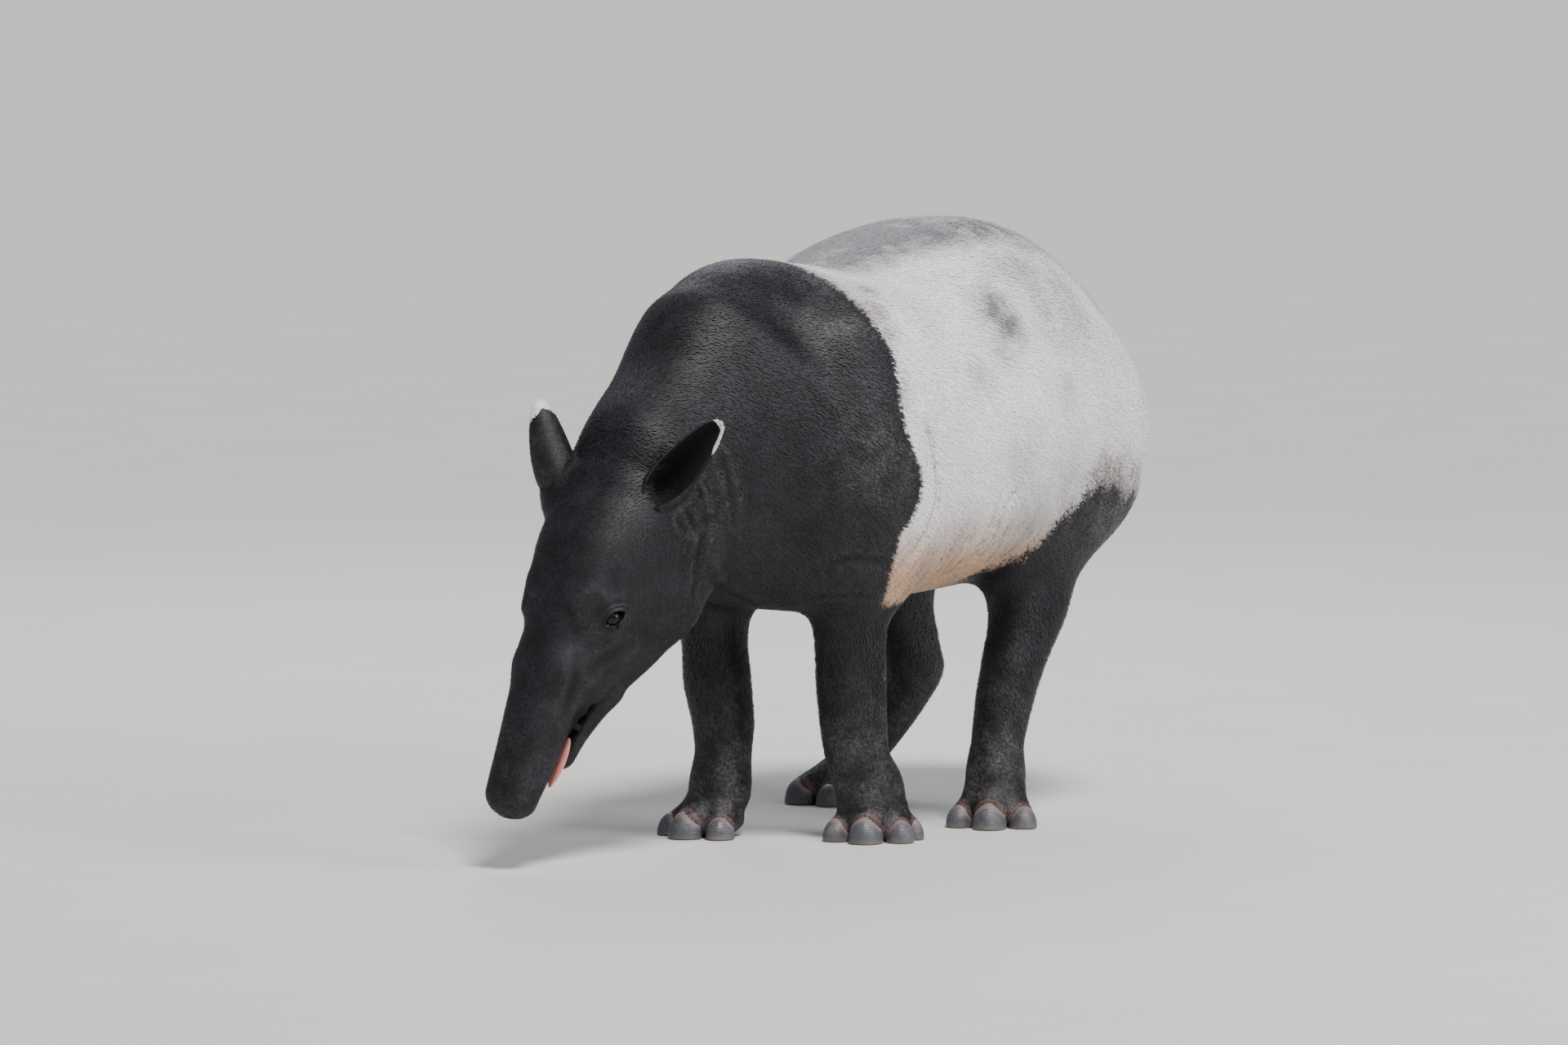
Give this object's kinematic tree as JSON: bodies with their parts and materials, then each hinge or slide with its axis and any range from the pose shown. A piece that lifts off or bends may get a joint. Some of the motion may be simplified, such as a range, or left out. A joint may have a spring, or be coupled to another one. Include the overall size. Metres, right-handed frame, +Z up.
{
  "type": "tapir",
  "caption": "Life-size still figure of a standing Malayan tapir with its head lowered: smooth barrel body, cupped ears, trunk-like snout and hoofed feet.",
  "frame": {"origin": "on the ground, under the middle of the figure's bounding box", "axes": "+Z up, the animal faces -Y, its left side is +X"},
  "size_m": [0.668, 1.7064, 1.0784],
  "materials": {
    "black": "black skin under short velvet-like hair",
    "saddle": "greyish white skin under short hair, with black shoulders and haunches",
    "hoof": "dull grey horn",
    "eye": "wet dark brown",
    "tongue": "wet pink"
  },
  "bodies": {
    "root": {"ear_left": "black", "ear_right": "black", "eye_left": "eye", "eye_right": "eye", "fore_foot_left": "black", "fore_foot_right": "black", "fore_leg_left": "black", "fore_leg_right": "black", "head": "black", "hind_foot_left": "black", "hind_foot_right": "black", "hind_leg_left": "black", "hind_leg_right": "black", "hoof_fore_left_inner": "hoof", "hoof_fore_left_middle": "hoof", "hoof_fore_left_outer": "hoof", "hoof_fore_left_small": "hoof", "hoof_fore_right_inner": "hoof", "hoof_fore_right_middle": "hoof", "hoof_fore_right_outer": "hoof", "hoof_fore_right_small": "hoof", "hoof_hind_left_inner": "hoof", "hoof_hind_left_middle": "hoof", "hoof_hind_left_outer": "hoof", "hoof_hind_right_inner": "hoof", "hoof_hind_right_middle": "hoof", "hoof_hind_right_outer": "hoof", "lower_jaw": "black", "neck": "black", "snout": "black", "tail": "black", "tongue": "tongue", "torso": "saddle"}
  },
  "joints": []
}
